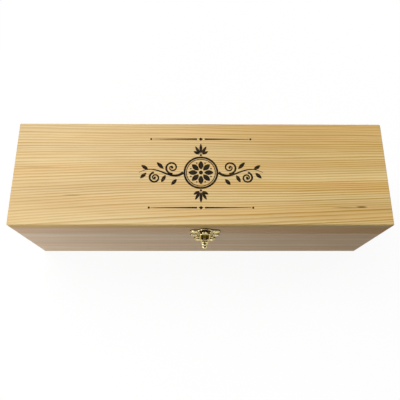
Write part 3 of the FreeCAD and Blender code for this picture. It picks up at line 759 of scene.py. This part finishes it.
def plate_relief(name, node, nails, body, scrolls, ribs):
    """Raised work on a plate: a rim, a ring about each nail, and scrolls and ribs on both sides."""
    outline, face = front_outline(NODES[node])
    rim = inset(evenly(outline, RIM_STEP * MM), RIM_INSET * MM)
    bead(f"{name}_rim", [rim], RIM_RADIUS, body, closed=True)
    rings = []
    for low, high in solid_boxes(NODES[nails]):
        centre = Vector(((low.x + high.x) / 2, face, (low.z + high.z) / 2))
        rings.append(scroll(centre, NAIL_RING_RADIUS, NAIL_RING_RADIUS, 0.0, 1.0)[:-1])
    bead(f"{name}_rings", rings, SCROLL_RADIUS, body, closed=True)
    middle = Vector((LEVER_PIVOT.x, face, SEAM_HEIGHT))
    runs = []
    for sign in (-1, 1):
        for side, height, outer, inner, start, turns in scrolls:
            centre = middle + Vector((sign * side, 0.0, height)) * MM
            angle = math.radians(start) if sign > 0 else math.pi - math.radians(start)
            runs.append(scroll(centre, outer, inner, angle, sign * turns))
        for ends in ribs:
            runs.append([middle + Vector((sign * side, 0.0, height)) * MM for side, height in ends])
    bead(f"{name}_scrolls", runs, SCROLL_RADIUS, body, thin=SCROLL_THIN)


plate_relief("catch_plate", "latch_catch_plate", "latch_catch_nails", "lid", CATCH_SCROLLS, CATCH_RIBS)
plate_relief("lever_plate", "latch_base_plate", "latch_base_nails", "base",
             LEVER_PLATE_SCROLLS, LEVER_PLATE_RIBS)


HOOK_LIP_THICK = 0.8
HOOK_ROLL_RISE = 15.2
HOOK_ROLL_HALF = 2.8
HOOK_ROLL_RADIUS = 1.0
HOOK_GROOVE = 0.6
LOBE_POWER = 3
LOBE_STEPS = 12


def hook_roll():
    """The top of the hook's lip, rolled outwards in two lobes, flush with the lip's inner face."""
    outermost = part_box("latch_catch_plate")[0].y
    depth = outermost + (HOOK_LIP_THICK - HOOK_ROLL_RADIUS) * MM
    middle = Vector((LEVER_PIVOT.x, depth, SEAM_HEIGHT + HOOK_ROLL_RISE * MM))
    lobe = []
    for step in range(LOBE_STEPS + 1):
        off = abs(2 * step / LOBE_STEPS - 1)
        radius = HOOK_ROLL_RADIUS * (1 - off ** LOBE_POWER) ** (1 / LOBE_POWER)
        lobe.append((radius, HOOK_ROLL_HALF * step / LOBE_STEPS))
    left = [(radius, along - HOOK_ROLL_HALF) for radius, along in lobe[:-1]]
    right = [(HOOK_GROOVE, 0.0), *lobe[1:]]
    work = bmesh.new()
    turned(work, left + right, middle, RIGHT)
    new_piece("hook_roll", smooth_mesh("hook_roll", work), LATCH_BRASS, "lid")


hook_roll()


LEVER_FACE_OUT = 2.8
LEVER_STRAIGHT = 6.0
LEVER_BEND = 12.0
LEVER_SWEEP = 45.0
LEVER_HALF = 3.4
LEVER_TIP_HALF = 2.4
BOSS_SUNK = 0.3
BOSS_RINGS = 10

# Flutes and bosses are (way down from the pivot, side, half length, half width, height). Side and half width
# are shares of the lever's half
LEVER_FLUTES = ((3.2, -0.5, 2.3, 0.38, 1.2), (3.2, 0.5, 2.3, 0.38, 1.2))
LEVER_BOSSES = ((8.2, 0.0, 2.3, 0.95, 2.4), (12.7, 0.0, 2.5, 1.05, 2.9))


def lever_place(along, side):
    """A point on the lever's outer face: along is the way down from its pivot, side a share of its half."""
    if along <= LEVER_STRAIGHT:
        return LEVER_PIVOT + Vector((side * LEVER_HALF, -LEVER_FACE_OUT, -along)) * MM
    angle = (along - LEVER_STRAIGHT) / LEVER_BEND
    out = LEVER_FACE_OUT + LEVER_BEND * (1 - math.cos(angle))
    drop = LEVER_BEND * math.sin(angle)
    narrowing = drop / (LEVER_BEND * math.sin(math.radians(LEVER_SWEEP)))
    half = LEVER_HALF + (LEVER_TIP_HALF - LEVER_HALF) * narrowing
    return LEVER_PIVOT + Vector((side * half, -out, -LEVER_STRAIGHT - drop)) * MM


def boss(work, middle, side, half_length, half_width, height, steps=32):
    """Adds a rounded boss that stands on the lever's outer face and is sunk a little into it."""
    rings = []
    for reach, lift in [(1.0, -BOSS_SUNK), *dome(1.0, 0.0, height, BOSS_RINGS)]:
        ring = []
        for step in range(steps if reach > 0 else 1):
            turn = 2 * math.pi * step / steps
            along = middle + half_length * reach * math.cos(turn)
            tilt = max(along - LEVER_STRAIGHT, 0.0) / LEVER_BEND
            out = Vector((0.0, -math.cos(tilt), math.sin(tilt))) * lift * MM
            across = side + half_width * reach * math.sin(turn)
            ring.append(work.verts.new(lever_place(along, across) + out))
        rings.append(ring)
    work.faces.new(rings[0])
    skin(work, rings, steps)


def lever_relief():
    """Raised work on the lever: two flutes at its top, and below them two bosses, the last at the tip."""
    for name, group in (("lever_flutes", LEVER_FLUTES), ("lever_bosses", LEVER_BOSSES)):
        work = bmesh.new()
        for measures in group:
            boss(work, *measures)
        new_piece(name, smooth_mesh(name, work), LATCH_BRASS, "latch_lever")


lever_relief()


# The printed ornament on the lid: a rosette between leafy scrolls, a generic design
# Places are in mm from the lid's middle, and the widths of strokes are halves

LID_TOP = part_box("lid_top_panel")[1].z
INK_PROUD = 0.03
INK_SUNK = 0.03
INK_LEAST_HALF = 0.02
LEAF_FULLNESS = 0.8

PETALS = 8
PETAL_ENDS = (3.0, 11.8)
PETAL_HALF = 2.45
PETAL_DOT_OUT = 10.2
PETAL_DOT = 0.75
ROSETTE_DOT = 2.0
ROSETTE_RINGS = ((13.5, 0.4), (15.4, 0.95))
ROSETTE_STEPS = 64

STEM = ((16.5, 0.0), (29.0, -11.0), (40.0, 11.0), (58.0, 0.0))
STEM_HALVES = (1.35, 0.2)
# Curls on the stem are (x, y, radius, start and sweep in degrees), and leaves (x, y, reach in x, in y)
STEM_CURLS = ((27.0, 5.0, 6.4, -95, 560), (43.0, -5.2, 5.4, 80, -560))
CURL_STEPS = 44
CURL_HALVES = (1.0, 0.5)
CURL_EYE = 1.2
STEM_LEAVES = ((22.5, -6.6, 5.0, -5.8), (35.0, 3.6, 6.5, 6.8), (49.5, 3.0, 6.5, 4.4),
               (33.0, -2.6, 3.8, -7.2), (51.0, -0.4, 5.6, -5.4))
STEM_LEAF_HALF = 1.75

# The leaves of a spray are (lean in degrees, length)
SPRAY_LEAVES = ((-60, 8.0), (-30, 10.5), (0, 12.0), (30, 10.5), (60, 8.0))
SPRAY_OUT = 17.8
SPRAY_LEAF_START = 1.6
SPRAY_LEAF_HALF = 1.4
SPRAY_DOT = 1.1

RULE_OUT = 34.5
RULE_ENDS = (3.6, 46.0)
RULE_HALVES = (0.8, 0.2)
RULE_DOT_PLACE = 47.6
RULE_DOT = 1.0
LOZENGE_REACH = 2.2
LOZENGE_HALF = 1.7


def stroke(work, points, half_width, closed=False):
    """A flat stroke of ink along points (x, y): half_width is a function of the share of the way along."""
    count = len(points)
    rows = []
    for index, point in enumerate(points):
        before = points[(index - 1) % count] if closed or index else point
        after = points[(index + 1) % count] if closed or index + 1 < count else point
        along = (after - before).normalized()
        aside = Vector((-along.y, along.x)) * max(half_width(index / (count - 1)), INK_LEAST_HALF)
        corners = ((point - aside, -INK_SUNK), (point + aside, -INK_SUNK),
                   (point + aside, INK_PROUD), (point - aside, INK_PROUD))
        rows.append([work.verts.new((place.x * MM, place.y * MM, LID_TOP + lift * MM))
                     for place, lift in corners])
    for start, stop in zip(rows, rows[1:] + (rows[:1] if closed else [])):
        for corner in range(4):
            following = (corner + 1) % 4
            work.faces.new((start[corner], start[following], stop[following], stop[corner]))
    if not closed:
        work.faces.new(rows[0][::-1])
        work.faces.new(rows[-1])


def line(start, stop, steps=12):
    """Points from start to stop."""
    return [start.lerp(stop, step / steps) for step in range(steps + 1)]


def arc(centre, radius, first, sweep, steps, last_radius):
    """Points about a centre, from an angle in degrees through a sweep, closing in to last_radius."""
    points = []
    for step in range(steps + 1):
        angle = math.radians(first + sweep * step / steps)
        reach = radius + (last_radius - radius) * step / steps
        points.append(centre + Vector((math.cos(angle), math.sin(angle))) * reach)
    return points


def wave(corners, steps=24):
    """A cubic Bezier curve through its four control points."""
    first, second, third, last = corners
    points = []
    for step in range(steps + 1):
        t = step / steps
        points.append(first * (1 - t) ** 3 + second * 3 * t * (1 - t) ** 2
                      + third * 3 * t * t * (1 - t) + last * t ** 3)
    return points


def even(half):
    """The width of a plain line."""
    return lambda share: half


def leaf_width(widest):
    """The width of a leaf, pointed at both ends."""
    return lambda share: widest * math.sin(math.pi * share) ** LEAF_FULLNESS


def taper(thick, thin):
    """The width of a stroke that changes evenly from end to end."""
    return lambda share: thick + (thin - thick) * share


def dot_width(radius):
    """The width of a round dot."""
    return lambda share: radius * math.sqrt(max(0.0, 1 - (2 * share - 1) ** 2))


def lozenge_width(widest):
    """The width of a lozenge."""
    return lambda share: widest * (1 - abs(2 * share - 1))


def flat(*pair):
    """A place on the lid."""
    return Vector(pair)


def heading(angle):
    """The direction of an angle on the lid."""
    return flat(math.cos(angle), math.sin(angle))


def dot(work, x, y, radius):
    """Adds a round dot."""
    stroke(work, line(flat(x - radius, y), flat(x + radius, y)), dot_width(radius))


def rosette(work):
    """Adds the rosette: petals with dots between them, a middle dot and two rings."""
    for number in range(PETALS):
        angle = 2 * math.pi * number / PETALS
        start, stop = (heading(angle) * end for end in PETAL_ENDS)
        stroke(work, line(start, stop), leaf_width(PETAL_HALF))
        between = angle + math.pi / PETALS
        dot(work, PETAL_DOT_OUT * math.cos(between), PETAL_DOT_OUT * math.sin(between), PETAL_DOT)
    dot(work, 0.0, 0.0, ROSETTE_DOT)
    for radius, half in ROSETTE_RINGS:
        ring = arc(flat(0.0, 0.0), radius, 0, 360, ROSETTE_STEPS, radius)[:-1]
        stroke(work, ring, even(half), closed=True)


def leafy_stem(work, sign):
    """Adds a waved stem with curls and leaves, on the left or on the right."""
    stroke(work, wave([flat(sign * x, y) for x, y in STEM]), taper(*STEM_HALVES))
    for x, y, radius, first, turn in STEM_CURLS:
        sweep = turn if sign > 0 else -turn
        start = first if sign > 0 else 180 - first
        curl = arc(flat(sign * x, y), radius, start, sweep, CURL_STEPS, CURL_EYE)
        stroke(work, curl, taper(*CURL_HALVES))
        dot(work, sign * x, y, CURL_EYE)
    for x, y, reach_x, reach_y in STEM_LEAVES:
        leaf = line(flat(sign * x, y), flat(sign * (x + reach_x), y + reach_y))
        stroke(work, leaf, leaf_width(STEM_LEAF_HALF))


def spray(work, sign):
    """Adds a spray of leaves behind or in front of the rosette."""
    foot = flat(0.0, SPRAY_OUT * sign)
    for lean, length in SPRAY_LEAVES:
        out = heading(math.radians(90 * sign + lean))
        stroke(work, line(foot + out * SPRAY_LEAF_START, foot + out * length), leaf_width(SPRAY_LEAF_HALF))
    dot(work, 0.0, SPRAY_OUT * sign, SPRAY_DOT)


def rule(work, sign):
    """Adds a fine rule behind or in front of the ornament: two tapered lines with dots, about a lozenge."""
    y = RULE_OUT * sign
    for side in (-1, 1):
        inner, outer = (flat(end * side, y) for end in RULE_ENDS)
        stroke(work, line(inner, outer), taper(*RULE_HALVES))
        dot(work, RULE_DOT_PLACE * side, y, RULE_DOT)
    lozenge = line(flat(-LOZENGE_REACH, y), flat(LOZENGE_REACH, y), 2)
    stroke(work, lozenge, lozenge_width(LOZENGE_HALF))


def lid_ornament():
    """The whole ornament, as one thin piece of ink."""
    work = bmesh.new()
    rosette(work)
    for sign in (-1, 1):
        leafy_stem(work, sign)
    for sign in (-1, 1):
        spray(work, sign)
        rule(work, sign)
    bmesh.ops.recalc_face_normals(work, faces=work.faces)
    mesh = bpy.data.meshes.new("lid_ornament")
    work.to_mesh(mesh)
    work.free()
    new_piece("lid_ornament", mesh, ink("ornament_ink"), "lid")


lid_ornament()


# Stage, light and camera

# The floor's half width, how pale it is to the lamps, and the share of plain white in what is seen of it
FLOOR_HALF = 3.0
FLOOR_PALE = 0.12
FLOOR_WHITE = 0.93
SURROUNDINGS = 0.04
# The sines of the heights between which the white surroundings darken to the ceiling
CEILING = (0.30, 0.55)

# The camera's place in mm, its angles in degrees, and its focal length and frame in the photograph's pixels
CAMERA_PLACE = (-4.7, -158.8, 500.5)
CAMERA_PITCH = 71.36
CAMERA_YAW = 1.65
CAMERA_ROLL = 1.64
FOCAL_PIXELS = 449.7
FRAME_PIXELS = 400.0
SENSOR_WIDTH = 36.0
CLIP_START = 0.01


def stage_floor():
    """A pale floor that reads white to the camera and in reflections, and keeps a faint shadow."""
    graph = Graph(bpy.data.materials.new("floor_white"))
    seen = graph.seen()
    pale = graph.node("ShaderNodeBsdfDiffuse", {"Color": graph.scaled(seen, 1 - FLOOR_PALE, FLOOR_PALE)})
    white = graph.node("ShaderNodeEmission", {"Color": WHITE, "Strength": 1.0})
    both = graph.node("ShaderNodeMixShader", {"Fac": graph.math("MULTIPLY", seen, FLOOR_WHITE)})
    graph.put(both.inputs[1], pale.outputs[0])
    graph.put(both.inputs[2], white.outputs[0])
    graph.surface(both)
    corners = [(x * FLOOR_HALF, y * FLOOR_HALF, 0.0) for x, y in ((-1, -1), (1, -1), (1, 1), (-1, 1))]
    mesh = bpy.data.meshes.new("floor")
    mesh.from_pydata(corners, [], [(0, 1, 2, 3)])
    mesh.materials.append(graph.owner)
    made = bpy.data.objects.new("floor", mesh)
    bpy.context.scene.collection.objects.link(made)


def surroundings(strength):
    """Even dim light all round; what is seen or mirrored of it is white, and darker towards the ceiling."""
    world = bpy.data.worlds.new("studio")
    graph = Graph(world)
    way = graph.node("ShaderNodeTexCoord").outputs["Generated"]
    wall = graph.node("ShaderNodeMapRange", {
        "Value": graph.node("ShaderNodeSeparateXYZ", {"Vector": way}).outputs["Z"],
        "From Min": CEILING[0],
        "From Max": CEILING[1],
        "To Min": 1.0,
        "To Max": strength,
    })
    level = graph.node("ShaderNodeMix", {
        "Factor": graph.seen(), "A": strength, "B": wall.outputs[0]}, data_type="FLOAT")
    back = graph.node("ShaderNodeBackground", {"Color": WHITE, "Strength": level.outputs[0]})
    graph.surface(back, "ShaderNodeOutputWorld")
    bpy.context.scene.world = world


def lamp(name, place, target, size, watts):
    """A square lamp that looks at a target."""
    light = bpy.data.lights.new(name, "AREA")
    light.shape = "SQUARE"
    light.size = size
    light.energy = watts
    made = bpy.data.objects.new(name, light)
    made.location = place
    made.rotation_euler = (Vector(target) - Vector(place)).to_track_quat("-Z", "Y").to_euler()
    bpy.context.scene.collection.objects.link(made)


def camera():
    """The photograph's view: steeply from above, a little in front, with a slight turn and tilt."""
    pitch, yaw, roll = (math.radians(angle) for angle in (CAMERA_PITCH, CAMERA_YAW, CAMERA_ROLL))
    level = Vector((math.sin(yaw), math.cos(yaw), 0.0))
    level_right = Vector((math.cos(yaw), -math.sin(yaw), 0.0))
    ahead = math.cos(pitch) * level - math.sin(pitch) * UP
    level_up = math.sin(pitch) * level + math.cos(pitch) * UP
    right = math.cos(roll) * level_right + math.sin(roll) * level_up
    up = math.cos(roll) * level_up - math.sin(roll) * level_right
    data = bpy.data.cameras.new("camera")
    data.sensor_fit = "HORIZONTAL"
    data.sensor_width = SENSOR_WIDTH
    data.lens = FOCAL_PIXELS / FRAME_PIXELS * SENSOR_WIDTH
    data.clip_start = CLIP_START
    made = bpy.data.objects.new("camera", data)
    turn = Matrix((right, up, -ahead)).transposed().to_4x4()
    made.matrix_world = Matrix.Translation(Vector(CAMERA_PLACE) * MM) @ turn
    bpy.context.scene.collection.objects.link(made)
    bpy.context.scene.camera = made


stage_floor()
surroundings(SURROUNDINGS)
lamp("key", place=(-0.85, 0.85, 2.10), target=(0.0, 0.0, 0.1), size=1.9, watts=58.5)
lamp("fill", place=(-0.45, -0.40, 0.18), target=(-0.1, 0.0, 0.05), size=0.34, watts=1.55)
lamp("side", place=(0.80, 0.45, 0.40), target=(0.15, 0.05, 0.05), size=0.5, watts=2.6)
camera()
bpy.context.scene.view_settings.view_transform = "Standard"
